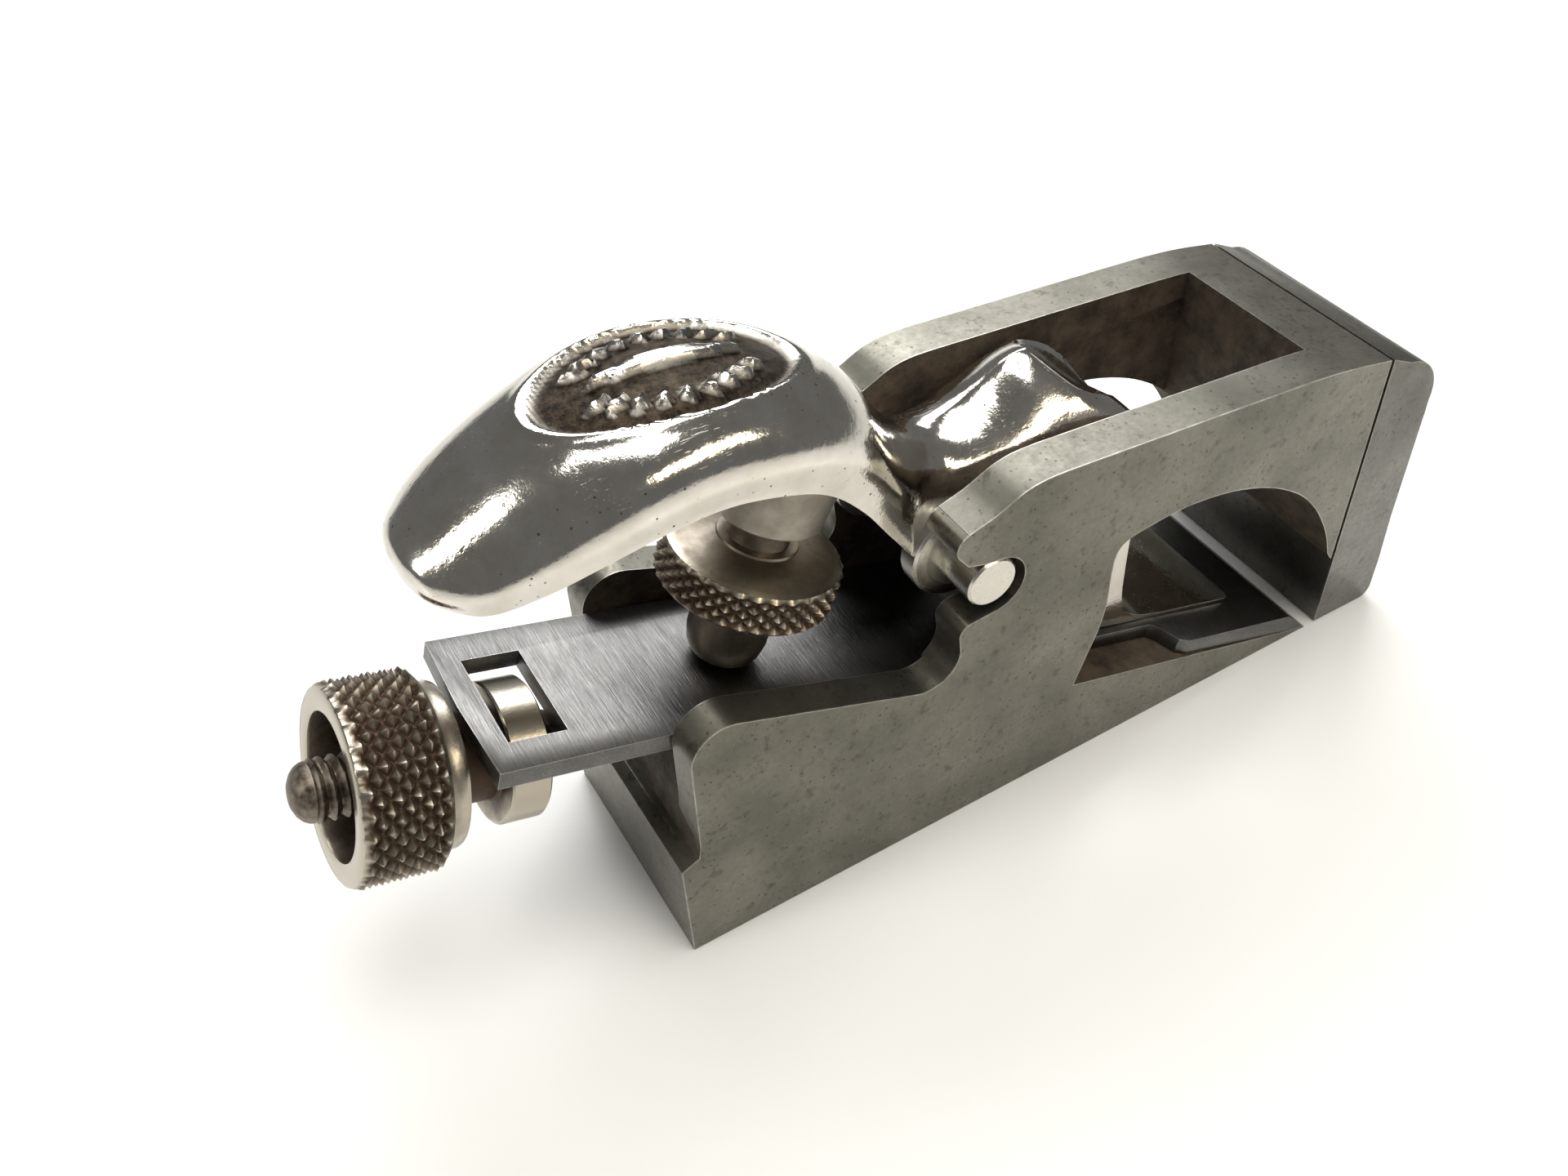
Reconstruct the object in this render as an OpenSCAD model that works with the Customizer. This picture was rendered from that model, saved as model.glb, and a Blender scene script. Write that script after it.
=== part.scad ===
// Small bull-nose rabbet plane: a narrow iron body open at both sides, a detachable
// nose, a T-shaped cutter, a palm-shaped lever cap on trunnions and a knurled adjuster.

/* [Plane] */
// Length of the sole, nose included
sole_len = 100.6; // [98:0.2:104]
// Width over the machined cheeks
plane_w = 28.6; // [27:0.2:32]
// Angle of the bed that the cutter lies on
bed_a = 18; // [17:0.5:19]

/* [Nose] */
// Thickness of the detachable nose
nose_t = 9.5; // [8.5:0.1:11]
// Thickness of the shim that sets the mouth
shim_t = 0.5; // [0.3:0.1:0.8]
// Radius of the nose screw's thread
nose_screw_r = 2.9; // [2.4:0.1:3.2]
// Height of the nose screw above the sole
nose_screw_z = 28.8; // [28:0.1:30]

/* [Cutter] */
// Thickness of the cutter
cutter_t = 2.0; // [1.6:0.1:2.2]
// Half width of the cutter's tail
tail_w2 = 9.7; // [9.3:0.1:9.7]
// Distance from the edge to the cutter's tail end
cutter_len = 109.6; // [108.8:0.1:110.5]

/* [Adjuster] */
// Radius of the stud's thread
stud_r = 3.1; // [2.8:0.1:3.4]
// Depth of the stud's axis below the bed
stud_drop = 5.14; // [5.1:0.01:5.2]
// Radius of the knurled nut
nut_r = 10.0; // [9:0.1:10.5]
// Radius of the disc that pushes the cutter
disc_r = 7.2; // [6.9:0.05:7.2]

/* [Lever cap] */
// Radius of the trunnion pin
pin_r = 2.95; // [2.6:0.05:2.95]
// Half width of the leg and its boss
leg_w2 = 8.6; // [8:0.1:8.8]
// Radius of the thumbscrew's knurled wheel
wheel_r = 9.5; // [8.5:0.1:9.6]

/* [Hidden] */
fine = 96;

half_w = plane_w / 2;
seam_x = sole_len - nose_t - shim_t;
bed_x = seam_x - 1.2;
cut_gap = 0.03;
seat_gap = 0.02;
run_gap = 0.05;

pin_x = 37.5;
pin_z = 35.95;
notch = [37.8, 35.4, 3.6];
boss_r = 5.7;
leg_gap = 0.12;
leg_x = [52.0, 61.5];
toe_x = 80.3;
foot_t = 0.85;

wall_in = 9.95;
rail_in = 9.2;
rail_z = 40;
front_wall_x = 82.2;
lip_z = 14.6;
slit = [8.8, 10.3];
slit_z = 22.7;

screw_tilt = 21.5;
screw_foot = [13.17, 26.87];
foot_h = 9.4;
wheel_h = 4.67;
boss_h = 18.2;
stem_r = 3.25;
stem_top = 25.0;

iron = [0.47, 0.45, 0.41];
iron_light = [0.50, 0.49, 0.46];
steel = [0.45, 0.45, 0.45];
nickel = [0.80, 0.78, 0.72];
brown_steel = [0.40, 0.35, 0.30];

// Height of the bed at a distance from the rear face
function bed_z(x) = (bed_x - x) * tan(bed_a);

// Points of an arc from angle a0 to a1, in steps of about 10 degrees
function arc(c, r, a0, a1) =
    let (n = max(2, ceil(abs(a1 - a0) / 10)))
    [for (i = [0 : n]) let (a = a0 + (a1 - a0) * i / n) [c[0] + r * cos(a), c[1] + r * sin(a)]];

// Catmull-Rom value through a table's column, at position t along its rows
function blend4(p0, p1, p2, p3, f) =
    0.5 * (2 * p1 + (p2 - p0) * f + (2 * p0 - 5 * p1 + 4 * p2 - p3) * f * f
    + (3 * p1 - p0 - 3 * p2 + p3) * f * f * f);
function along(rows, col, t) =
    let (last = len(rows) - 1, i = min(floor(t), last - 1), f = t - i)
    blend4(rows[max(i - 1, 0)][col], rows[i][col], rows[i + 1][col], rows[min(i + 2, last)][col], f);

// A smooth run of points through the given ones
function smooth(points, steps) =
    let (last = len(points) - 1)
    [for (i = [0 : last * steps]) [along(points, 0, i / steps), along(points, 1, i / steps)]];

// The part's frame has its origin at the middle of the sole; shapes are drawn from the rear face
module to_frame() {
    translate([-sole_len / 2, 0, 0]) children();
}

// Frame of the bed: -X runs up the bed from the mouth, +Z is square to it
module on_bed() {
    translate([bed_x, 0, 0]) rotate([0, bed_a, 0]) children();
}

// A side outline, drawn in X and Z, made into a slab from y0 to y1
module slab(y0, y1) {
    translate([0, y1, 0]) rotate([90, 0, 0]) linear_extrude(height = y1 - y0) children();
}

// A turned shape along the bed, drawn as radius and distance from the mouth
module turned_on_bed(drop) {
    on_bed() translate([0, 0, -drop]) rotate([0, -90, 0]) rotate_extrude($fn = fine) children();
}

// Frame of the thumbscrew: origin where its axis meets the cutter, +Z up its axis
module on_screw() {
    translate([screw_foot[0], 0, screw_foot[1]]) rotate([0, screw_tilt, 0]) children();
}

// ---------------------------------------------------------------- body

// Side outline of the whole body, with the hooked notch for the trunnion
module body_side() {
    rear = concat([[0, 0], [0, lip_z], [0.5, lip_z + 0.25], [2.1, lip_z + 1], [2.4, lip_z + 2.6]],
                  arc([6.6, 29.6], 4.0, 175, 67));
    saddle = concat(arc([30.1, 28.0], 3.7, -113, 5), arc([35.1, 30.1], 1.5, 180, 95));
    hook = concat(arc([notch[0], notch[1]], notch[2], -90, 80), [[36.4, 39.25], [34.2, 40.0]],
                  arc([34.4, 42.6], 1.7, 215, 105));
    top = smooth([[34.0, 44.3], [36.9, 45.15], [38.9, 46.05], [40.8, 46.8], [43.8, 47.1], [50, 46.6],
                  [56, 46.05], [68, 44.85], [77.3, 44.0], [84, 43.1], [seam_x, 41.65]], 3);
    front = [[seam_x, 11.6], [seam_x - 0.3, 11.9]];
    polygon(concat(rear, saddle, hook, top, front, arch_upper(), [[50.3, bed_z(50.3)], [bed_x, 0]]));
}

// Upper edge of the side arch, from the mouth back to the heel of the bed
function arch_upper() = concat(
    smooth([[89.6, 12.95], [88.5, 16.1], [87.1, 19.0], [84.85, 22.6], [81.8, 26.1], [78.3, 28.8],
            [74.5, 30.9], [69.6, 32.7], [64.5, 33.6], [60.8, 33.7], [56.8, 33.3]], 3),
    smooth([[55.6, 33.1], [54.2, 32.2], [53.6, 30.2], [53.55, 26.0], [53.4, 23.0], [52.8, 20.1]], 3));

// Everything above the bed, back from the front wall
module channel_side(top) {
    polygon([[front_wall_x, bed_z(front_wall_x)], [front_wall_x, top], [-5, top], [-5, bed_z(-5)]]);
}

// Hollow behind the bed block: a rough slope from the rear lip up to the bed
module rear_hollow_side() {
    polygon([[-5, lip_z + 0.6], [1.4, lip_z + 0.6], [3.2, 22.4], [5.4, bed_z(5.4)], [6, 34], [-5, 34]]);
}

module body() {
    color(iron) to_frame() difference() {
        slab(-half_w, half_w) body_side();
        slab(-wall_in, wall_in) channel_side(rail_z);
        slab(-rail_in, rail_in) channel_side(60);
        slab(-wall_in, wall_in) rear_hollow_side();
        for (side = [-1, 1]) {
            translate([-1, side > 0 ? slit[0] : -slit[1], slit_z]) cube([33, slit[1] - slit[0], 12]);
        }
        on_bed() translate([-75, 0, -stud_drop]) rotate([0, -90, 0])
            cylinder(r = stud_r + seat_gap, h = 40, $fn = fine);
        translate([seam_x - 7.4, 0, nose_screw_z]) rotate([0, 90, 0])
            cylinder(r = nose_screw_r + run_gap, h = 20, $fn = fine);
    }
}

// ---------------------------------------------------------------- nose

head_r = 5.0;
head_h = 3.0;
sink_h = 3.6;

module nose_side() {
    back_x = seam_x + shim_t + seat_gap;
    polygon(concat([[back_x, 0.15]], arc([sole_len - 1.6, 1.6], 1.6, -90, 0),
                   [[sole_len, 6], [sole_len - 0.5, 14], [sole_len - 0.8, 31.0]],
                   arc([sole_len - 7.6, 33.2], 6.8, -8, 79), [[back_x, 41.5]]));
}

module nose_piece() {
    color(iron_light) to_frame() difference() {
        slab(-half_w, half_w) nose_side();
        translate([seam_x, 0, nose_screw_z]) rotate([0, 90, 0])
            cylinder(r = nose_screw_r + 0.3, h = 20, $fn = fine);
        translate([sole_len - sink_h - 0.7, 0, nose_screw_z]) rotate([0, 90, 0])
            cylinder(r = head_r + 0.3, h = 10, $fn = fine);
    }
}

module mouth_shim() {
    color(brown_steel) to_frame() difference() {
        slab(-half_w + 0.25, half_w - 0.25) polygon([
            [seam_x + seat_gap, 12.6], [seam_x + shim_t - seat_gap, 12.6],
            [seam_x + shim_t - seat_gap, 41.2], [seam_x + seat_gap, 41.2]]);
        translate([seam_x - 1, 0, nose_screw_z]) rotate([0, 90, 0])
            cylinder(r = nose_screw_r + 0.3, h = 4, $fn = fine);
    }
}

module nose_screw() {
    seat_x = sole_len - sink_h - 0.7 + seat_gap;
    color(brown_steel) to_frame() translate([0, 0, nose_screw_z]) difference() {
        union() {
            translate([seam_x - 7, 0, 0]) rotate([0, 90, 0])
                cylinder(r = nose_screw_r, h = seat_x - seam_x + 7.2, $fn = fine);
            translate([seat_x, 0, 0]) rotate([0, 90, 0]) rotate_extrude($fn = fine)
                polygon([[0, 0], [head_r, 0], [head_r, head_h - 0.5], [head_r - 0.5, head_h], [0, head_h]]);
        }
        translate([seat_x + head_h - 1.3, -10, -0.6]) cube([4, 20, 1.2]);
    }
}

// ---------------------------------------------------------------- cutter

// Plan of the cutter: the edge is at x = 0 and the tail runs to -X
module cutter_plan() {
    bow = arc([-cutter_len + 110, 0], 110, 175, 185);
    half = [[0, half_w], [-21.9, half_w - 0.35], [-23.4, 13.2], [-24.3, 10.8], [-25.2, tail_w2]];
    tail = [for (p = bow) [p[0], tail_w2 * (p[1] / 9.587)]];
    mirrored = [for (i = [len(half) - 1 : -1 : 0]) [half[i][0], -half[i][1]]];
    polygon(concat(half, tail, mirrored));
}

slot_s = [100.8, 106.9];
slot_w2 = 6.05;
bevel_l = 3.7;

module cutter() {
    color(steel) to_frame() on_bed() translate([-0.12, 0, cut_gap]) difference() {
        linear_extrude(height = cutter_t) cutter_plan();
        translate([-slot_s[1], -slot_w2, -1]) cube([slot_s[1] - slot_s[0], 2 * slot_w2, cutter_t + 2]);
        slab(-20, 20) polygon([[1, -1], [0.02, 0], [-bevel_l, cutter_t], [-bevel_l, cutter_t + 1],
                               [1, cutter_t + 1]]);
        for (side = [-1, 1]) {
            translate([0, side * half_w, 0]) rotate([side * 14, 0, 0])
                translate([-30, side > 0 ? 0 : -4, -1]) cube([40, 4, 6]);
        }
    }
}

// ---------------------------------------------------------------- adjuster

nut_s = [102.0, 106.2, 110.6, 112.8, 121.4];

module adjuster_stud() {
    color(brown_steel) to_frame() turned_on_bed(stud_drop) polygon(concat(
        [[0, 75.5], [stud_r - 0.5, 75.5], [stud_r, 76], [stud_r, 122.6], [stud_r - 0.25, 123.0]],
        [for (a = [0 : 15 : 90]) [2.85 * cos(a), 123.3 + 1.9 * sin(a)]]));
}

module adjusting_nut() {
    hole = stud_r + run_gap;
    color(brown_steel) to_frame() turned_on_bed(stud_drop) polygon([
        [hole, nut_s[0]], [disc_r - 0.25, nut_s[0]], [disc_r, nut_s[0] + 0.25],
        [disc_r, nut_s[1] - 0.25], [disc_r - 0.25, nut_s[1]],
        [4.5, nut_s[1]], [4.5, nut_s[2]], [8.0, nut_s[2]], [8.3, nut_s[2] + 0.3], [8.3, nut_s[3]],
        [nut_r - 0.5, nut_s[3]], [nut_r, nut_s[3] + 0.6], [nut_r, nut_s[4] - 1.0],
        [nut_r - 0.3, nut_s[4]], [7.4, nut_s[4]], [7.2, nut_s[4] - 0.3], [7.2, nut_s[4] - 5.2],
        [hole, nut_s[4] - 5.2]]);
}

// ---------------------------------------------------------------- lever cap

// Stations along the palm: distance, lower edge, crest, half width
palm = [[-16.0, 55.2, 56.4, 1.6], [-15.3, 54.4, 57.5, 3.5], [-14, 53.9, 58.7, 6.0],
        [-11, 53.7, 60.9, 8.9], [-6.5, 54.7, 63.2, 10.3], [-1, 55.8, 65.3, 10.9],
        [5, 56.8, 66.4, 11.3], [11, 56.6, 66.3, 11.2], [17.5, 54.6, 64.5, 10.8],
        [22.5, 51.0, 61.9, 10.1], [27.5, 45.4, 58.0, 9.2], [31, 40.4, 53.8, 8.5],
        [34.5, 36.5, 48.6, 8.1]];
palm_rings = 26;
ring_n = 28;
hollow_h = 1.2;

// One ring of the palm: the arched top, then back along the shallow hollow underside
function palm_ring(t) =
    let (x = along(palm, 0, t), lo = along(palm, 1, t), hi = along(palm, 2, t), w = along(palm, 3, t))
    concat(
        [for (i = [0 : ring_n / 2]) let (a = 180 * i / (ring_n / 2))
            [x, w * sign(cos(a)) * pow(abs(cos(a)), 0.8), lo + (hi - lo) * pow(sin(a), 0.8)]],
        [for (i = [1 : 3]) let (a = 180 - 45 * i)
            [x, 0.85 * w * cos(a), lo + min(hollow_h, 0.2 * (hi - lo)) * sin(a)]]);

// A closed skin over rings of equal point count
module skin(rings) {
    n = len(rings[0]);
    m = len(rings);
    points = [for (ring = rings) for (p = ring) p];
    sides = [for (j = [0 : m - 2]) for (i = [0 : n - 1]) for (half = [0, 1])
        let (a = j * n + i, b = j * n + (i + 1) % n)
        half == 0 ? [a, b + n, b] : [a, a + n, b + n]];
    first = [[for (i = [0 : n - 1]) i]];
    last = [[for (i = [n - 1 : -1 : 0]) (m - 1) * n + i]];
    polyhedron(points = points, faces = concat(sides, first, last), convexity = 6);
}

// Side outline of the leg: a hump, an upright front and a thin foot along the cutter
module leg_side() {
    function top_of_cutter(x) = bed_z(x) + (cutter_t + cut_gap + leg_gap) / cos(bed_a);
    polygon(concat(
        [[33.5, 44.0], [35.2, 47.0], [38, 46.6], [42, 47.0], [45.5, 48.6], [48.5, 50.3],
         [50.8, 50.8], [53, 50.0], [56.8, 46.8], [leg_x[1], 41.8]],
        arc([leg_x[1] + 4.4, top_of_cutter(leg_x[1] + 4.4) + foot_t + 4.0], 4.4, 180, 250),
        [[toe_x, top_of_cutter(toe_x) + foot_t], [toe_x, top_of_cutter(toe_x)],
         [leg_x[0], top_of_cutter(leg_x[0])], [leg_x[0], 30.0], [50, 33.0], [43.5, 32.6],
         [38, 31.4], [33.5, 36.0]]));
}

module lever_cap() {
    color(nickel) to_frame() difference() {
        union() {
            skin([for (i = [0 : palm_rings]) palm_ring(i / palm_rings * (len(palm) - 1))]);
            slab(-leg_w2, leg_w2) {
                leg_side();
                translate([pin_x, pin_z]) circle(r = boss_r, $fn = fine);
            }
            on_screw() translate([0, 0, boss_h]) cylinder(r = 5.8, h = 12, $fn = fine);
        }
        translate([pin_x, -20, pin_z]) rotate([-90, 0, 0])
            cylinder(r = pin_r + seat_gap, h = 40, $fn = fine);
        on_screw() translate([0, 0, boss_h - 1])
            cylinder(r = stem_r + run_gap, h = stem_top - boss_h + 4, $fn = fine);
    }
}

module trunnion_pin() {
    pin_l = 2 * half_w - 0.3;
    color(nickel) to_frame() translate([pin_x, -pin_l / 2, pin_z]) rotate([-90, 0, 0])
        cylinder(r = pin_r, h = pin_l, $fn = fine);
}

module thumbscrew() {
    color(brown_steel) to_frame() on_screw() rotate_extrude($fn = fine) polygon([
        [0, 0.15], [2.2, 0.3], [3.5, 0.9], [4.0, 1.8], [4.3, foot_h - 0.3], [4.3, foot_h],
        [wheel_r - 0.5, foot_h], [wheel_r, foot_h + 0.5], [wheel_r, foot_h + wheel_h - 0.5],
        [wheel_r - 0.4, foot_h + wheel_h], [4.2, foot_h + wheel_h + 1.0],
        [stem_r, foot_h + wheel_h + 1.1], [stem_r, stem_top - 0.6], [stem_r - 0.6, stem_top],
        [0, stem_top]]);
}

body();
nose_piece();
mouth_shim();
nose_screw();
cutter();
lever_cap();
trunnion_pin();
thumbscrew();
adjuster_stud();
adjusting_nut();
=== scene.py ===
import math

import bmesh
import bpy
from mathutils import Matrix, Vector


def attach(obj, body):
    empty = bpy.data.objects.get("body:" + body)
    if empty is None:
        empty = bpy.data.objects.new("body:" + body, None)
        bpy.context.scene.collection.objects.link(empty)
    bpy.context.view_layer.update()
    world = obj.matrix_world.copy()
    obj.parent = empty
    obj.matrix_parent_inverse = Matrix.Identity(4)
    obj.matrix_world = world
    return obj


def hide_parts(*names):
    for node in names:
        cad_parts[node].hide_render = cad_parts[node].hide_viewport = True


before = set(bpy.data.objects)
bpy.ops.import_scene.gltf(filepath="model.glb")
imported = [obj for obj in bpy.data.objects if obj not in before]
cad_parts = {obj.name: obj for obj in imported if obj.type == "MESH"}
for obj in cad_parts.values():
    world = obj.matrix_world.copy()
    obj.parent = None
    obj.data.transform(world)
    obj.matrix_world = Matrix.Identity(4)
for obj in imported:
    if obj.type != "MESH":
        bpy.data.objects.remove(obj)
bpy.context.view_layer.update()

# ------------------------------------------------------------------ sizes
# Outlines are in millimetres from the body's rear face and are moved to the frame by HALF_SOLE.

MM = 0.001
# From the body's rear face to the middle of the sole
HALF_SOLE = 50.3
# The bed's slope, and where its plane meets the sole
BED_A = math.radians(18)
BED_X = 89.4
# How far the stud's axis lies below the bed's plane
STUD_DROP = 5.14
# The thumbscrew's lean towards the nose, and the x and z of its foot
SCREW_TILT = math.radians(21.5)
SCREW_FOOT = (13.17, 26.87)
# The trunnion pin's axis, radius and half length
PIN_X, PIN_Z = 37.5, 35.95
PIN_R = 2.95
PIN_HALF = 14.15
THREAD_PITCH = 1.25
# The slant of a knurl's grooves from the axis
KNURL_SLANT = math.radians(52)
# The longest steps along a turned profile: plain, knurled and threaded
PLAIN_STEP, KNURL_STEP, THREAD_STEP = 1.0, 0.16, 0.12


def to_frame(x, y, z):
    """A point measured from the body's rear face, in the row frame, in metres."""
    return Vector(((x - HALF_SOLE) * MM, y * MM, z * MM))


def lerp(a, b, f):
    return a + (b - a) * f


def clamp(v, lo=0.0, hi=1.0):
    return max(lo, min(hi, v))


def ease(v):
    """A smooth rise from 0 to 1 as v goes from 0 to 1."""
    v = clamp(v)
    return v * v * (3 - 2 * v)


def spline(rows, t):
    """Catmull-Rom through rows of numbers, at position t along them."""
    last = len(rows) - 1
    i = min(int(t), last - 1)
    f = t - i
    p0, p1, p2, p3 = rows[max(i - 1, 0)], rows[i], rows[i + 1], rows[min(i + 2, last)]
    return [0.5 * (2 * b + (c - a) * f + (2 * a - 5 * b + 4 * c - d) * f * f
                   + (3 * b - a - 3 * c + d) * f ** 3) for a, b, c, d in zip(p0, p1, p2, p3)]


# ------------------------------------------------------------------ mesh helpers

def make_object(name, verts, faces, smooth=True):
    """A new mesh object in the scene, with its faces turned outwards."""
    mesh = bpy.data.meshes.new(name)
    mesh.from_pydata([tuple(v) for v in verts], [], faces)
    mesh.validate()
    bm = bmesh.new()
    bm.from_mesh(mesh)
    bmesh.ops.recalc_face_normals(bm, faces=bm.faces)
    bm.to_mesh(mesh)
    bm.free()
    for p in mesh.polygons:
        p.use_smooth = smooth
    obj = bpy.data.objects.new(name, mesh)
    bpy.context.scene.collection.objects.link(obj)
    return obj


def ring_faces(rings, around):
    """Quads between rings of points that follow one another, with a face over each end."""
    faces = []
    for j in range(rings - 1):
        for i in range(around):
            k = (i + 1) % around
            faces.append((j * around + i, j * around + k, (j + 1) * around + k, (j + 1) * around + i))
    faces.append(tuple(range(around))[::-1])
    faces.append(tuple((rings - 1) * around + i for i in range(around)))
    return faces


def apply_modifiers(obj):
    bpy.context.view_layer.update()
    graph = bpy.context.evaluated_depsgraph_get()
    mesh = bpy.data.meshes.new_from_object(obj.evaluated_get(graph))
    obj.modifiers.clear()
    obj.data = mesh


def copy_node(node, name, bevel_mm, segments=2, angle=30):
    """A CAD node's mesh as a new piece, with its flat facets joined and its arrises rounded."""
    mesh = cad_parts[node].data.copy()
    obj = bpy.data.objects.new(name, mesh)
    bpy.context.scene.collection.objects.link(obj)
    bm = bmesh.new()
    bm.from_mesh(mesh)
    bmesh.ops.remove_doubles(bm, verts=bm.verts, dist=2e-6)
    bmesh.ops.dissolve_limit(bm, angle_limit=math.radians(0.6), verts=bm.verts, edges=bm.edges)
    # A concave face left whole would be filled across the openings
    large = [f for f in bm.faces if len(f.verts) > 4]
    bmesh.ops.triangulate(bm, faces=large, ngon_method="EAR_CLIP")
    bm.to_mesh(mesh)
    bm.free()
    for p in mesh.polygons:
        p.use_smooth = True
    mod = obj.modifiers.new("arris", "BEVEL")
    mod.width = bevel_mm * MM
    mod.segments = segments
    mod.limit_method = "ANGLE"
    mod.angle_limit = math.radians(angle)
    mod.use_clamp_overlap = True
    mod.harden_normals = False
    apply_modifiers(obj)
    smooth_by_angle(obj, 30)
    return obj


def smooth_by_angle(obj, degrees):
    """Shades the mesh as smooth, apart from edges that turn by more than this."""
    mesh = obj.data
    if "sharp_edge" not in mesh.attributes:
        mesh.attributes.new("sharp_edge", "BOOLEAN", "EDGE")
    bm = bmesh.new()
    bm.from_mesh(mesh)
    limit = math.radians(degrees)
    for e in bm.edges:
        e.smooth = len(e.link_faces) == 2 and e.calc_face_angle(0) < limit
    bm.to_mesh(mesh)
    bm.free()


def add_mask(obj, name, rule):
    """A per-face grey layer, from 0 to 1 as rule(centre, normal) says."""
    mesh = obj.data
    layer = mesh.color_attributes.new(name, "FLOAT_COLOR", "CORNER")
    for p in mesh.polygons:
        v = rule(p.center, p.normal)
        for i in p.loop_indices:
            layer.data[i].color = (v, v, v, 1)


def add_point_layer(obj, name, values):
    """A grey layer with one value for each point."""
    layer = obj.data.color_attributes.new(name, "FLOAT_COLOR", "POINT")
    for i, v in enumerate(values):
        layer.data[i].color = (v, v, v, 1)


# ------------------------------------------------------------------ materials

class Graph:
    """A short way to write a material's node tree."""

    def __init__(self, name):
        self.material = bpy.data.materials.new(name)
        self.material.use_nodes = True
        self.tree = self.material.node_tree
        self.shader = self.tree.nodes["Principled BSDF"]
        self.coords = self.tree.nodes.new("ShaderNodeTexCoord").outputs["Object"]

    def node(self, kind, props=None, **inputs):
        """A node with its inputs set by name, or by number as _0, _1 and so on."""
        n = self.tree.nodes.new(kind)
        for key, value in (props or {}).items():
            setattr(n, key, value)
        for key, value in inputs.items():
            socket = n.inputs[int(key[1:])] if key[1:].isdigit() else n.inputs[key.replace("_", " ")]
            self.put(socket, value)
        return n

    def put(self, socket, value):
        if isinstance(value, bpy.types.NodeSocket):
            self.tree.links.new(value, socket)
        else:
            socket.default_value = value

    def scaled(self, x, y, z, angle=0.0):
        """The object's coordinates, stretched and turned about Y."""
        n = self.node("ShaderNodeMapping", Vector=self.coords)
        n.inputs["Scale"].default_value = (x, y, z)
        n.inputs["Rotation"].default_value = (0, angle, 0)
        return n.outputs[0]

    def noise(self, per_mm, detail=4.0, rough=0.6, vector=None):
        n = self.node("ShaderNodeTexNoise", Vector=vector or self.coords, Scale=per_mm / MM,
                      Detail=detail, Roughness=rough)
        return n.outputs["Fac"]

    def cells(self, per_mm):
        n = self.node("ShaderNodeTexVoronoi", Vector=self.coords, Scale=per_mm / MM)
        return n.outputs["Distance"]

    def band(self, value, lo, hi, out_lo=0.0, out_hi=1.0):
        """The value's range from lo to hi, spread over the range from out_lo to out_hi."""
        n = self.node("ShaderNodeMapRange", Value=value)
        n.inputs["From Min"].default_value = lo
        n.inputs["From Max"].default_value = hi
        n.inputs["To Min"].default_value = out_lo
        n.inputs["To Max"].default_value = out_hi
        return n.outputs[0]

    def math(self, op, a, b):
        return self.node("ShaderNodeMath", {"operation": op}, _0=a, _1=b).outputs[0]

    def mix(self, factor, a, b):
        n = self.node("ShaderNodeMix", {"data_type": "RGBA"})
        self.put(n.inputs[0], factor)
        for socket, colour in ((n.inputs[6], a), (n.inputs[7], b)):
            self.put(socket, colour if isinstance(colour, bpy.types.NodeSocket) else (*colour, 1))
        return n.outputs[2]

    def mask(self, name):
        return self.node("ShaderNodeVertexColor", {"layer_name": name}).outputs["Color"]

    def edge(self, radius_mm):
        """1 on sharp arrises, from a rounded normal's turn away from the true one."""
        bevel = self.node("ShaderNodeBevel", {"samples": 6}, Radius=radius_mm * MM).outputs[0]
        normal = self.node("ShaderNodeNewGeometry").outputs["Normal"]
        dot = self.node("ShaderNodeVectorMath", {"operation": "DOT_PRODUCT"}, _0=bevel, _1=normal)
        return self.band(self.math("SUBTRACT", 1.0, dot.outputs["Value"]), 0.02, 0.25)

    def bump(self, height, strength, distance_mm, base=None):
        n = self.node("ShaderNodeBump", Height=height, Strength=strength, Distance=distance_mm * MM)
        if base is not None:
            self.put(n.inputs["Normal"], base)
        return n.outputs[0]

    def finish(self, colour, rough, metal, normal=None, **flat):
        """Joins the shader's sockets up; flat gives the ones that are the same all over."""
        self.put(self.shader.inputs["Base Color"], colour)
        self.put(self.shader.inputs["Roughness"], rough)
        self.put(self.shader.inputs["Metallic"], metal)
        if normal is not None:
            self.put(self.shader.inputs["Normal"], normal)
        for key, value in flat.items():
            self.shader.inputs[key.replace("_", " ")].default_value = value
        return self.material


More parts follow.
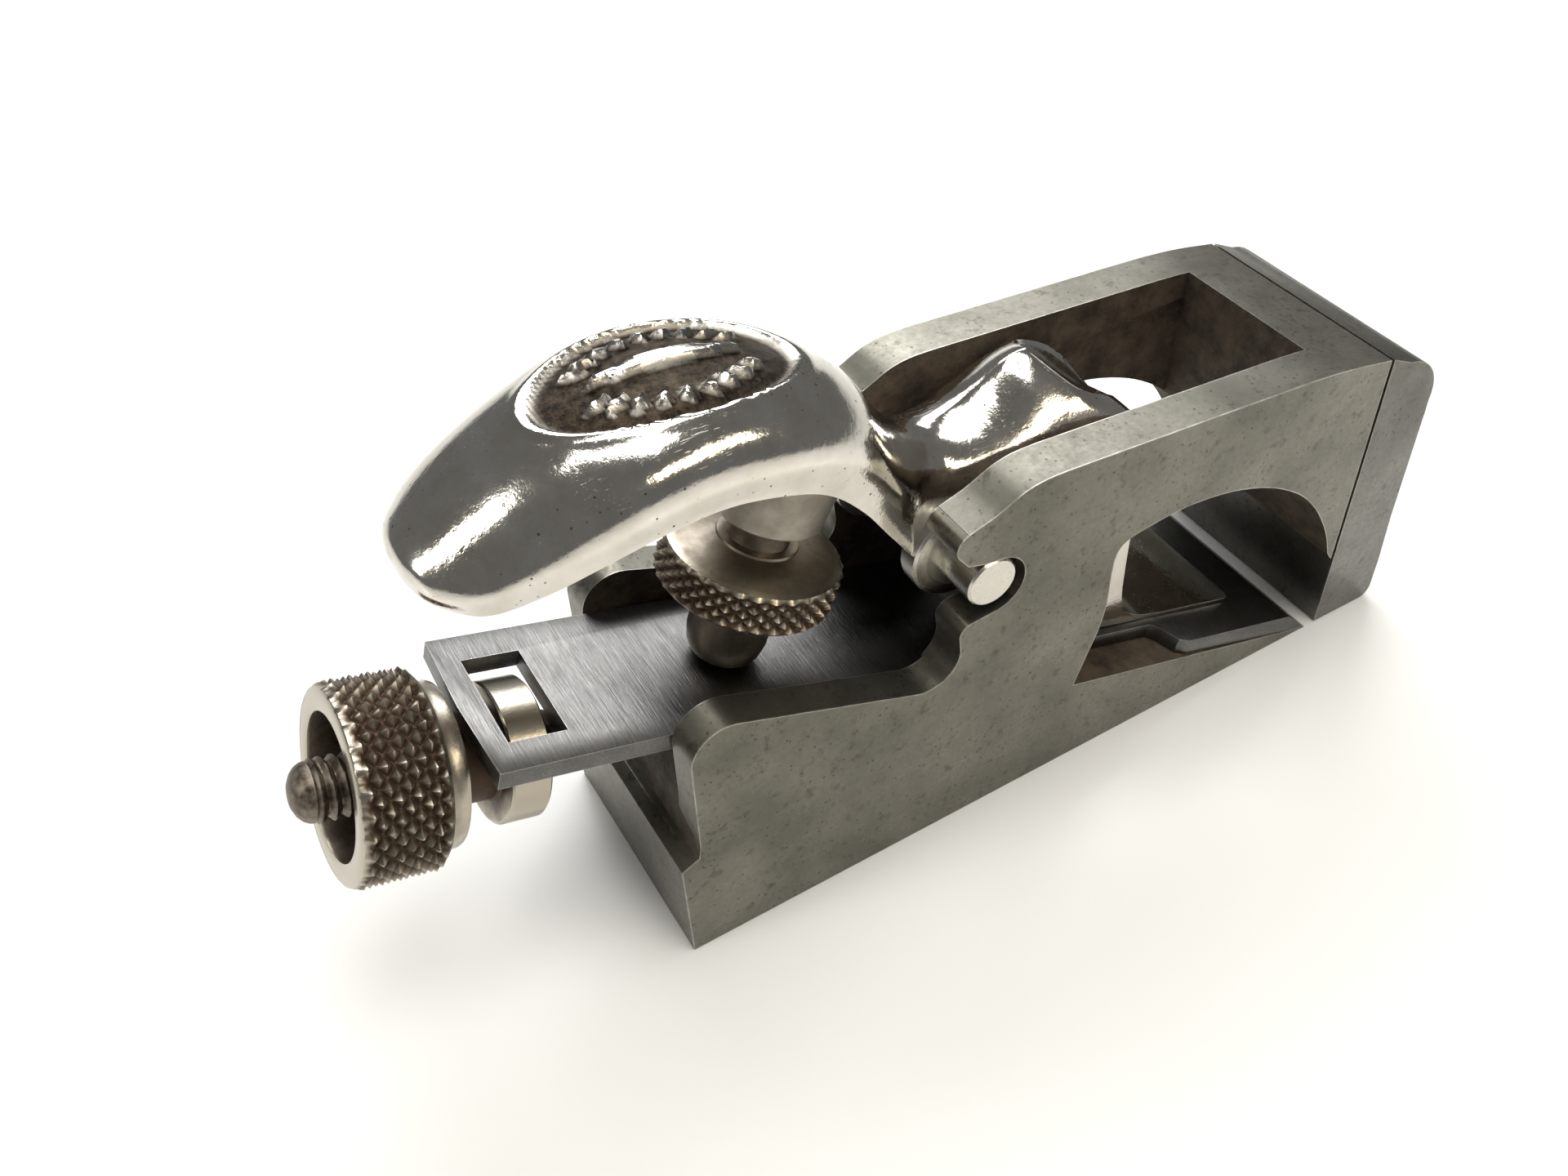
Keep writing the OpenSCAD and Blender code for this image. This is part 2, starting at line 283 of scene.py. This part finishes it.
def iron_material(name, tint):
    """Ground grey iron with clouds, pits, faint grinding, bright arrises and rough brown castings."""
    g = Graph(name)
    clouds = g.noise(0.09, 5, 0.6)
    grain = g.noise(1.6, 4, 0.7)
    pits = g.band(g.cells(1.1), 0.05, 0.22)
    few = g.band(g.noise(0.35, 2), 0.40, 0.54)
    spots = g.band(g.noise(0.55, 6, 0.72), 0.56, 0.66)
    pit = g.math("MULTIPLY", g.math("SUBTRACT", 1.0, pits), few)
    lines = g.noise(1.0, 3, 0.6, g.scaled(0.25, 6.0, 6.0))
    dark = [c * t for c, t in zip((0.135, 0.130, 0.108), tint)]
    light = [c * t for c, t in zip((0.235, 0.225, 0.190), tint)]
    ground = g.mix(g.band(clouds, 0.35, 0.68), dark, light)
    ground = g.mix(g.band(grain, 0.30, 0.72, 0.0, 0.35), ground, [c * 0.72 for c in dark])
    ground = g.mix(g.math("MULTIPLY", pit, 0.85), ground, (0.035, 0.028, 0.020))
    ground = g.mix(g.math("MULTIPLY", spots, 0.55), ground, (0.060, 0.050, 0.036))
    bright_arris = g.math("MULTIPLY", g.edge(0.35), g.band(g.noise(0.8, 3), 0.30, 0.62, 0.25, 1.0))
    ground = g.mix(bright_arris, ground, (0.62, 0.60, 0.55))
    cast_noise = g.noise(0.28, 6, 0.7)
    cast = g.mix(g.band(cast_noise, 0.36, 0.66), (0.028, 0.021, 0.015), (0.105, 0.078, 0.052))
    inside = g.mask("cast")
    colour = g.mix(inside, ground, cast)
    rough = g.math("ADD", g.band(grain, 0.2, 0.8, 0.30, 0.46), g.math("MULTIPLY", inside, 0.35))
    rough = g.math("SUBTRACT", rough, g.math("MULTIPLY", bright_arris, 0.10))
    metal = g.math("SUBTRACT", 0.95, g.math("MULTIPLY", inside, 0.65))
    rough_cast = g.math("MULTIPLY", g.noise(0.9, 5, 0.7), inside)
    normal = g.bump(rough_cast, 0.8, 0.35)
    normal = g.bump(pit, -0.6, 0.10, normal)
    normal = g.bump(g.math("ADD", g.math("MULTIPLY", lines, 0.5), grain), 0.22, 0.03, normal)
    return g.finish(colour, rough, metal, normal)


def steel_material(name):
    """Ground tool steel: transverse grinding lines, faint stains, and a painted highlight along its arrises.
    """
    g = Graph(name)
    across = g.noise(1.0, 3, 0.7, g.scaled(7.0, 0.25, 7.0))
    stains = g.noise(0.12, 4, 0.6)
    colour = g.mix(g.band(stains, 0.35, 0.7), (0.135, 0.133, 0.128), (0.235, 0.232, 0.225))
    colour = g.mix(g.band(across, 0.35, 0.65, 0.0, 0.55), colour, (0.07, 0.07, 0.068))
    # Painted highlight: every arris is painted lighter at a fixed strength, standing in for the light the
    # edges catch
    bright_arris = g.math("MULTIPLY", g.edge(0.2), 0.8)
    colour = g.mix(bright_arris, colour, (0.65, 0.65, 0.63))
    rough = g.band(across, 0.2, 0.8, 0.24, 0.40)
    normal = g.bump(across, 0.8, 0.05)
    return g.finish(colour, rough, 1.0, normal, Anisotropic=0.4)


def nickel_material(name):
    """Polished nickel plate with tiny black pits, hairline scratches and a dark recess."""
    g = Graph(name)
    pits = g.math("SUBTRACT", 1.0, g.band(g.cells(1.0), 0.09, 0.15))
    where = g.band(g.noise(0.16, 3), 0.43, 0.55)
    pit = g.math("MULTIPLY", pits, where)
    haze = g.noise(0.22, 5, 0.65)
    scratches = g.math("MULTIPLY",
                       g.band(g.noise(1.0, 2, 0.5, g.scaled(0.5, 9.0, 7.0, 0.5)), 0.62, 0.68),
                       g.band(g.noise(0.2, 2), 0.45, 0.65))
    plate = g.mix(g.band(haze, 0.3, 0.7), (0.60, 0.565, 0.50), (0.76, 0.735, 0.685))
    plate = g.mix(g.math("MULTIPLY", pit, 0.9), plate, (0.02, 0.018, 0.014))
    recess = g.mask("recess")
    recess_noise = g.noise(0.9, 5, 0.7)
    floor = g.mix(g.band(recess_noise, 0.35, 0.65), (0.010, 0.008, 0.006), (0.060, 0.046, 0.032))
    colour = g.mix(recess, plate, floor)
    rough = g.math("ADD", g.band(haze, 0.25, 0.75, 0.07, 0.15), g.math("MULTIPLY", recess, 0.38))
    rough = g.math("ADD", rough, g.math("MULTIPLY", g.math("ADD", pit, scratches), 0.25))
    normal = g.bump(g.math("MULTIPLY", recess_noise, recess), 0.7, 0.2)
    normal = g.bump(pit, -0.5, 0.06, normal)
    normal = g.bump(haze, 0.22, 0.35, normal)
    normal = g.bump(scratches, -0.25, 0.03, normal)
    return g.finish(colour, rough, 1.0, normal)


def knurled_material(name, tip=(0.46, 0.42, 0.35), groove=(0.075, 0.047, 0.028)):
    """Turned steel, brown in its hollows and bright where hands rub it."""
    g = Graph(name)
    high = g.mask("height")
    stain = g.noise(0.5, 4, 0.6)
    shade = g.math("ADD", high, g.math("MULTIPLY", g.math("SUBTRACT", stain, 0.5), 0.6))
    colour = g.mix(g.band(shade, 0.15, 0.80), groove, tip)
    rough = g.band(shade, 0.1, 0.9, 0.52, 0.26)
    metal = g.band(shade, 0.0, 0.5, 0.55, 1.0)
    normal = g.bump(g.noise(2.2, 4, 0.6), 0.35, 0.05)
    return g.finish(colour, rough, metal, normal)


def stud_material(name):
    """Dark brown steel with rust in patches and paler crests."""
    g = Graph(name)
    rust = g.noise(0.9, 5, 0.65)
    colour = g.mix(g.band(rust, 0.35, 0.65), (0.075, 0.055, 0.040), (0.26, 0.225, 0.185))
    colour = g.mix(g.math("MULTIPLY", g.edge(0.12), 0.7), colour, (0.42, 0.38, 0.33))
    normal = g.bump(rust, 0.4, 0.06)
    return g.finish(colour, g.band(rust, 0.3, 0.7, 0.34, 0.55), 0.9, normal)


def floor_material():
    """A plain pale table top."""
    g = Graph("table_white")
    blotches = g.noise(0.008, 3, 0.5)
    colour = g.mix(g.band(blotches, 0.35, 0.65), (0.80, 0.80, 0.785), (0.84, 0.84, 0.83))
    return g.finish(colour, 0.28, 0.0)


MATERIALS = {
    "body_iron": iron_material("body_iron_look", (1.0, 1.0, 1.0)),
    "nose_iron": iron_material("nose_iron_look", (0.96, 0.99, 1.04)),
    "shim_steel": stud_material("shim_look"),
    "screw_steel": knurled_material("nose_screw_look", (0.42, 0.40, 0.36)),
    "cutter_steel": steel_material("cutter_look"),
    "cap_nickel": nickel_material("cap_look"),
    "pin_steel": knurled_material("pin_look", (0.66, 0.64, 0.58), (0.30, 0.27, 0.22)),
    "knurled_steel": knurled_material("knurl_look"),
    "stud_steel": stud_material("stud_look"),
}


def hand_in(obj, node, body, slot):
    """Gives a finished piece its material and its body, and hides the CAD node it stands for, if any."""
    obj.data.materials.clear()
    obj.data.materials.append(MATERIALS[slot])
    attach(obj, body)
    if node:
        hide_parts(node)


# ------------------------------------------------------------------ body and nose

def is_cast(centre, normal):
    """1 on the body's rough cast faces: the channel, the arch and the hollow behind the bed."""
    x, y, z = centre.x / MM + HALF_SOLE, abs(centre.y) / MM, centre.z / MM
    in_wall = y > 10.4
    arch_floor = 50 < x < 89 and z < 13
    cheek_or_sole = y > 14.0 or z < 0.4
    top = normal.z > 0.8 and (z > 40.5 or in_wall) and not arch_floor
    rear_face = x < 2.6 and (z < 15.9 or in_wall)
    front_face = x > 90.3
    rear_walls = x < 40 and in_wall
    return 0.0 if cheek_or_sole or top or rear_face or front_face or rear_walls else 1.0


def body_piece():
    obj = copy_node("body", "body_casting", 0.28)
    add_mask(obj, "cast", is_cast)
    hand_in(obj, "body", "plane_body", "body_iron")


def nose_pieces():
    nose = copy_node("nose_piece", "nose_block", 0.28)
    add_mask(nose, "cast", lambda centre, normal: 0.0)
    hand_in(nose, "nose_piece", "nose", "nose_iron")
    shim = copy_node("mouth_shim", "shim_sheet", 0.06, 1)
    hand_in(shim, "mouth_shim", "nose", "shim_steel")
    screw = copy_node("nose_screw", "nose_screw_turned", 0.15)
    add_mask(screw, "height", lambda centre, normal: 0.7)
    hand_in(screw, "nose_screw", "nose_fastener", "screw_steel")


# ------------------------------------------------------------------ cutter

def cutter_piece():
    obj = copy_node("cutter", "cutter_blade", 0.10)
    hand_in(obj, "cutter", "blade", "cutter_steel")


# ------------------------------------------------------------------ turned and knurled pieces

def within(span, *places):
    """Whether every place lies in the span, whose first two values are its ends."""
    return all(span[0] <= s <= span[1] for s in places)


def end_fade(span, s, run):
    """Fades from 1 to 0 over the last of the span, a run long at each end."""
    return ease((s - span[0]) / run) * ease((span[1] - s) / run)


def knurled(knurl, r, s, a):
    """Radius and height value on a knurl of two crossed sets of grooves."""
    start, _, count, depth = knurl
    turn = count * a / (2 * math.pi)
    slant = (s - start) * count / (2 * math.pi * r) * math.tan(KNURL_SLANT)
    one = abs(((turn + slant) % 1.0) * 2 - 1)
    other = abs(((turn - slant) % 1.0) * 2 - 1)
    dip = 1 - min(one, other)
    groove = depth * clamp(dip * 1.15 - 0.08) * lerp(0.35, 1.0, end_fade(knurl, s, 0.5))
    return r - groove, clamp(1.0 - dip * 1.1) * 0.9


def threaded(thread, r, s, a):
    """Radius on a thread of THREAD_PITCH."""
    phase = ((s / THREAD_PITCH - a / (2 * math.pi)) % 1.0) * 2 - 1
    return r - thread[2] * clamp(abs(phase) * 1.25 - 0.12) * end_fade(thread, s, 0.8)


def turned(name, profile, place, around=192, knurl=None, thread=None):
    """A turned piece: profile is (radius, distance, height value) in mm, place puts it in the frame.

    knurl is (from, to, count, depth) and thread is (from, to, depth), along the axis."""
    rings = []
    rim = 0.98 * max(p[0] for p in profile)
    for (r0, s0, h0), (r1, s1, h1) in zip(profile, profile[1:]):
        step = PLAIN_STEP
        if knurl and min(r0, r1) > rim and within(knurl, s0, s1):
            step = KNURL_STEP
        if thread and within(thread, s0, s1):
            step = THREAD_STEP
        steps = max(1, round(math.hypot(r1 - r0, s1 - s0) / step))
        for k in range(steps):
            f = k / steps
            rings.append((lerp(r0, r1, f), lerp(s0, s1, f), lerp(h0, h1, f)))
    rings.append(profile[-1])
    verts, heights = [], []
    for r, s, h in rings:
        for i in range(around):
            a = 2 * math.pi * i / around
            radius, height = r, h
            if knurl and r > rim and within(knurl, s):
                radius, height = knurled(knurl, r, s, a)
            if thread and within(thread, s):
                radius = threaded(thread, r, s, a)
            verts.append(place(radius * math.cos(a), radius * math.sin(a), s))
            heights.append(height)
    obj = make_object(name, verts, ring_faces(len(rings), around))
    add_point_layer(obj, "height", heights)
    smooth_by_angle(obj, 35)
    return obj


def place_on_bed(u, v, s):
    """From the stud's axis: u is square to the bed, v is along Y, s is the distance up from the mouth."""
    n = u - STUD_DROP
    x = BED_X - s * math.cos(BED_A) + n * math.sin(BED_A)
    z = s * math.sin(BED_A) + n * math.cos(BED_A)
    return to_frame(x, v, z)


def place_on_screw(u, v, s):
    """From the thumbscrew's axis: v is along Y, s is the distance up from its foot."""
    x = SCREW_FOOT[0] + s * math.sin(SCREW_TILT) + u * math.cos(SCREW_TILT)
    z = SCREW_FOOT[1] + s * math.cos(SCREW_TILT) - u * math.sin(SCREW_TILT)
    return to_frame(x, v, z)


def place_on_pin(u, v, s):
    """From the trunnion pin's axis: u is along X, v is along Z, s is along the pin."""
    return to_frame(PIN_X + u, s, PIN_Z + v)


def adjuster_pieces():
    nut = turned("nut_knurled", [
        (3.15, 102.0, 0.5), (6.7, 102.0, 0.7), (7.0, 102.05, 0.9), (7.2, 102.25, 1.0), (7.2, 105.95, 1.0),
        (7.0, 106.15, 0.9), (6.7, 106.2, 0.6), (4.9, 106.2, 0.25), (4.5, 106.5, 0.1), (4.5, 110.2, 0.1),
        (4.9, 110.6, 0.25), (7.7, 110.6, 0.7), (8.15, 110.75, 0.9), (8.3, 111.1, 0.9), (8.3, 112.6, 0.6),
        (8.4, 112.75, 0.3), (9.35, 112.8, 0.4), (10.0, 113.3, 0.7), (10.0, 120.6, 0.7), (9.55, 121.25, 0.9),
        (9.3, 121.4, 1.0), (7.5, 121.4, 1.0), (7.25, 121.3, 0.8), (7.2, 121.0, 0.4), (7.15, 116.6, 0.05),
        (6.9, 116.3, 0.05), (3.15, 116.2, 0.1)],
        place_on_bed, 360, knurl=(113.3, 120.6, 28, 0.90))
    hand_in(nut, "adjusting_nut", "depth_nut", "knurled_steel")
    stud = turned("stud_threaded", [
        (0.02, 75.5, 0), (2.6, 75.5, 0), (3.1, 76.0, 0), (3.1, 88.0, 0), (3.1, 122.9, 0), (2.75, 123.25, 0),
        (2.95, 123.35, 0), (2.85, 123.75, 0), (2.6, 124.2, 0), (2.1, 124.65, 0), (1.4, 125.0, 0),
        (0.7, 125.15, 0), (0.02, 125.2, 0)],
        place_on_bed, 72, thread=(88.0, 122.9, 0.55))
    hand_in(stud, "adjuster_stud", "plane_body", "stud_steel")


def thumbscrew_piece():
    obj = turned("thumbscrew_knurled", [
        (0.02, 0.15, 0.4), (2.2, 0.3, 0.5), (3.5, 0.9, 0.6), (4.0, 1.8, 0.55), (4.3, 3.2, 0.45),
        (4.3, 9.0, 0.3), (4.5, 9.3, 0.2), (8.6, 9.4, 0.3), (9.0, 9.55, 0.6), (9.5, 10.0, 0.6),
        (9.5, 13.6, 0.6), (9.1, 14.0, 0.9), (8.6, 14.1, 0.7), (8.2, 14.22, 0.5), (5.2, 14.85, 0.5),
        (4.3, 15.0, 0.45), (4.2, 15.25, 0.7), (3.9, 15.3, 0.7), (3.3, 15.35, 0.4), (3.25, 15.6, 0.4),
        (3.25, 24.4, 0.3), (2.65, 25.0, 0.3), (0.02, 25.0, 0.3)],
        place_on_screw, 324, knurl=(10.0, 13.6, 32, 0.75))
    hand_in(obj, "thumbscrew", "cap_screw", "knurled_steel")


# ------------------------------------------------------------------ lever cap

# Ribs from the palm's tail to the leg's toe: top x and z, bottom x and z, half width at the
# crease, half width at the lower edge, crease height as a share, crown roundness
RIBS = [
    (-16.0, 56.5, -16.0, 55.7, 0.8, 0.5, 0.40, 0.50),
    (-15.4, 57.6, -15.6, 54.8, 3.3, 2.8, 0.36, 0.50),
    (-14.0, 58.8, -14.3, 54.1, 5.9, 5.6, 0.26, 0.56),
    (-10.9, 60.8, -11.2, 53.8, 8.7, 8.6, 0.24, 0.58),
    (-6.4, 63.1, -6.6, 54.7, 10.1, 10.1, 0.22, 0.56),
    (-1.0, 65.2, -1.1, 55.8, 10.8, 10.7, 0.22, 0.53),
    (5.0, 66.4, 5.0, 56.8, 11.3, 11.0, 0.26, 0.50),
    (11.4, 66.3, 11.0, 56.7, 11.2, 10.9, 0.28, 0.50),
    (18.3, 64.5, 17.0, 54.9, 10.9, 10.6, 0.32, 0.52),
    (24.0, 61.4, 21.6, 52.0, 10.2, 9.8, 0.38, 0.54),
    (28.6, 57.4, 25.6, 47.4, 9.2, 9.0, 0.42, 0.54),
    (31.6, 52.7, 29.2, 41.8, 8.2, 8.3, 0.42, 0.52),
    (34.4, 48.8, 32.8, 36.6, 7.2, 8.0, 0.44, 0.50),
    (37.6, 46.8, 37.6, 32.6, 6.9, 7.9, 0.48, 0.54),
    (41.4, 47.0, 42.2, 33.0, 7.6, 8.3, 0.50, 0.62),
    (45.4, 48.7, 47.2, 33.2, 8.2, 8.6, 0.52, 0.72),
    (48.6, 50.4, 50.6, 30.8, 8.5, 8.6, 0.56, 0.74),
    (51.0, 50.7, 51.9, 26.0, 8.6, 8.6, 0.64, 0.70),
    (53.6, 49.5, 52.1, 20.0, 8.6, 8.6, 0.74, 0.56),
    (56.9, 46.5, 52.1, 16.4, 8.6, 8.6, 0.85, 0.38),
    (60.0, 43.3, 52.2, 14.8, 8.6, 8.6, 0.92, 0.14),
    (61.2, 41.2, 52.7, 14.6, 8.6, 8.6, 0.94, 0.12),
    (61.5, 38.0, 53.7, 14.2, 8.6, 8.6, 0.94, 0.12),
    (61.5, 30.0, 55.6, 13.3, 8.6, 8.6, 0.94, 0.12),
    (61.5, 20.0, 58.4, 12.4, 8.6, 8.6, 0.94, 0.12),
    (61.8, 15.6, 60.6, 11.7, 8.6, 8.6, 0.92, 0.12),
    (62.8, 13.0, 62.2, 11.1, 8.6, 8.6, 0.90, 0.12),
    (64.6, 11.4, 64.4, 10.4, 8.7, 8.6, 0.86, 0.14),
    (68.6, 9.75, 68.5, 9.05, 8.8, 8.6, 0.80, 0.16),
    (74.4, 7.95, 74.3, 7.15, 8.9, 8.7, 0.80, 0.16),
    (79.2, 6.35, 79.1, 5.6, 8.9, 8.7, 0.80, 0.18),
    (80.3, 5.9, 80.2, 5.3, 8.3, 8.3, 0.80, 0.20),
]
# Steps round half a ring: under it, up to its crease and over its crown
UNDER, BAND, CROWN = 8, 6, 44
CAP_RINGS = 420
# How far along the ribs to look each way for the slope of the top
SLOPE_REACH = 0.3

# Recess on the palm: middle, half length along the crest, half width, depth
RECESS = (11.0, 13.0, 7.2, 1.0)
# Lozenges in each half of the recess's ring
LOZENGES = 9
# Thumb hollow on the leg: middle, half length, half width, depth
SCOOP = (56.3, 5.4, 5.6, 1.3)


def recess_height(u, v):
    """Height and darkness in the palm's oval recess, for u along it and v across, from its middle."""
    edge = math.hypot(u, v)
    if edge > 1.16:
        return 0.0, 0.0
    wall = ease((1.0 - edge) / 0.07)
    rim = 0.16 * ease(1 - abs(edge - 1.06) / 0.10)
    height = rim - wall
    lens = 1 - (abs(v - 0.02) / max(0.001, 0.15 * (1 - (u / 0.62) ** 2))) if abs(u) < 0.62 else -1
    raised = ease(lens / 0.35)
    ring = math.hypot(u, v * 1.02)
    angle = math.degrees(math.atan2(v, u)) % 360
    for lo, hi in ((22, 158), (202, 338)):
        step = (hi - lo) / LOZENGES
        if lo < angle < hi:
            k = ((angle - lo) % step) / step * 2 - 1
            across = (ring - 0.67) / 0.15
            raised = max(raised, ease((1 - abs(k) * 1.25 - abs(across)) / 0.30))
    height += 0.80 * raised * wall
    return height, clamp(wall * (1 - 0.92 * raised))


def scoop_depth(tx, y):
    """Depth of the leg's oval hollow: a rounded rim, then a bowl."""
    middle, half_length, half_width, depth = SCOOP
    inside = 1 - ((tx - middle) / half_length) ** 2 - (y / half_width) ** 2
    if inside <= 0:
        return 0.0
    return depth * (0.30 * ease(inside / 0.10) + 0.70 * inside)


def half_ring(low, wide, crease, power):
    """Half width and height share of the points on one side, from the underside to the crest."""
    side = []
    for i in range(UNDER + 1):
        f = i / UNDER
        side.append((low * f, 0.035 * (1 - f ** 4)))
    for i in range(1, BAND + 1):
        f = i / BAND
        side.append((lerp(low, wide, ease(f)), crease * f))
    for i in range(1, CROWN + 1):
        a = math.pi / 2 * i / CROWN
        side.append((wide * math.cos(a) ** (2 * power), crease + (1 - crease) * math.sin(a) ** (2 * power)))
    return side


def cap_ring(t):
    """The lever cap's points and their recess darkness, round the place t along the ribs."""
    tx, tz, bx, bz, wide, low, crease, power = spline(RIBS, t)
    up = Vector((tx - bx, 0, tz - bz))
    ahead = spline(RIBS, min(t + SLOPE_REACH, len(RIBS) - 1))
    behind = spline(RIBS, max(t - SLOPE_REACH, 0))
    normal = Vector((behind[1] - ahead[1], 0, ahead[0] - behind[0])).normalized()
    on_palm = tx < 30
    on_hump = 50 < tx < 61.8 and tz > 40
    side = half_ring(low, wide, crease, power)
    out, dark = [], []
    for y, h in side + [(-y, h) for y, h in reversed(side[1:-1])]:
        p = Vector((bx, y, bz)) + up * h
        shade = 0.0
        if h > crease * 0.5 and on_palm:
            height, shade = recess_height((tx - RECESS[0]) / RECESS[1], y / RECESS[2])
            p += normal * height * RECESS[3]
        elif h > crease * 0.5 and on_hump:
            p -= normal * scoop_depth(tx, y)
        out.append(to_frame(*p))
        dark.append(shade)
    return out, dark


def lever_cap_piece():
    verts, dark = [], []
    last = len(RIBS) - 1
    for j in range(CAP_RINGS):
        ring, shade = cap_ring(last * j / (CAP_RINGS - 1))
        verts += ring
        dark += shade
    obj = make_object("lever_cap_cast", verts, ring_faces(CAP_RINGS, len(verts) // CAP_RINGS))
    add_point_layer(obj, "recess", dark)
    smooth_by_angle(obj, 50)
    hand_in(obj, "lever_cap", "cap", "cap_nickel")


def cap_bosses():
    """The turned bosses round the trunnions and the one that the thumbscrew's stem goes into."""
    profile = [(3.0, 6.0, 0.6), (5.4, 6.0, 0.6), (5.7, 6.1, 0.7), (5.7, 8.25, 0.8), (5.45, 8.55, 1.0),
               (4.2, 8.6, 0.6), (4.1, 8.5, 0.4), (3.0, 8.5, 0.6)]
    for side, name in ((-1, "cap_boss_right"), (1, "cap_boss_left")):
        ring = turned(name, [(r, s * side, h) for r, s, h in profile], place_on_pin, 128)
        hand_in(ring, None, "cap", "pin_steel")
    stem = turned("cap_stem_boss", [
        (3.3, 18.3, 0.5), (5.3, 18.2, 0.4), (5.8, 18.6, 0.3), (6.2, 22.0, 0.2), (7.0, 25.5, 0.2),
        (8.4, 28.0, 0.2), (3.3, 28.0, 0.2)], place_on_screw, 96)
    hand_in(stem, None, "cap", "pin_steel")


def pin_piece():
    pin = turned("trunnion_turned", [
        (0.02, -PIN_HALF, 0.9), (1.2, -PIN_HALF, 0.85), (2.7, -PIN_HALF, 0.8), (PIN_R, -PIN_HALF + 0.25, 0.9),
        (PIN_R, PIN_HALF - 0.25, 0.8), (2.7, PIN_HALF, 0.8), (0.02, PIN_HALF, 0.9)], place_on_pin, 96)
    hand_in(pin, "trunnion_pin", "cap", "pin_steel")


# ------------------------------------------------------------------ scene

def stage():
    """The table top, a hair below the sole so that the two faces don't fight."""
    half = 1.6
    corners = [(-half, -half, 0), (half, -half, 0), (half, half, 0), (-half, half, 0)]
    floor = make_object("table_top", corners, [(0, 1, 2, 3)], smooth=False)
    floor.location.z = -0.05 * MM
    floor.data.materials.append(floor_material())


def area_light(name, place, target, size, watts, colour=(1, 1, 1)):
    data = bpy.data.lights.new(name, "AREA")
    data.shape = "RECTANGLE"
    data.size, data.size_y = size
    data.energy = watts
    data.color = colour
    obj = bpy.data.objects.new(name, data)
    obj.location = place
    obj.rotation_euler = (Vector(target) - Vector(place)).to_track_quat("-Z", "Y").to_euler()
    bpy.context.scene.collection.objects.link(obj)


def lights():
    world = bpy.data.worlds.new("studio")
    bpy.context.scene.world = world
    world.use_nodes = True
    background = world.node_tree.nodes["Background"]
    background.inputs["Color"].default_value = (1.0, 0.995, 0.98, 1)
    background.inputs["Strength"].default_value = 0.16
    area_light("window", (0.25, 0.55, 0.55), (0, 0, 0.02), (0.7, 0.4), 5.2)
    area_light("ceiling", (0.05, -0.05, 0.75), (0, 0, 0), (0.5, 0.5), 4.3, (1.0, 0.985, 0.95))
    area_light("warm_strip", (0.24, -0.52, 0.46), (0, 0, 0.05), (0.55, 0.12), 1.3, (1.0, 0.88, 0.68))
    area_light("side_strip", (-0.55, 0.05, 0.42), (0, 0, 0.05), (0.14, 0.5), 1.2, (1.0, 0.97, 0.9))


def camera():
    """The viewpoint: above and behind the plane on its right, looking down at 45 degrees."""
    data = bpy.data.cameras.new("camera")
    data.lens = 33.27
    data.sensor_width = 36.0
    data.clip_start = 0.01
    obj = bpy.data.objects.new("camera", data)
    forward = Vector((0.33136, 0.62460, -0.70716)).normalized()
    up = Vector((0.38511, 0.59469, 0.70571)).normalized()
    right = forward.cross(up).normalized()
    up = right.cross(forward)
    turn = Matrix((right, up, -forward)).transposed().to_4x4()
    obj.matrix_world = Matrix.Translation(to_frame(-28.72, -94.36, 138.98)) @ turn
    bpy.context.scene.collection.objects.link(obj)
    bpy.context.scene.camera = obj


body_piece()
nose_pieces()
cutter_piece()
adjuster_pieces()
thumbscrew_piece()
lever_cap_piece()
cap_bosses()
pin_piece()
stage()
lights()
camera()
bpy.context.scene.view_settings.view_transform = "Standard"
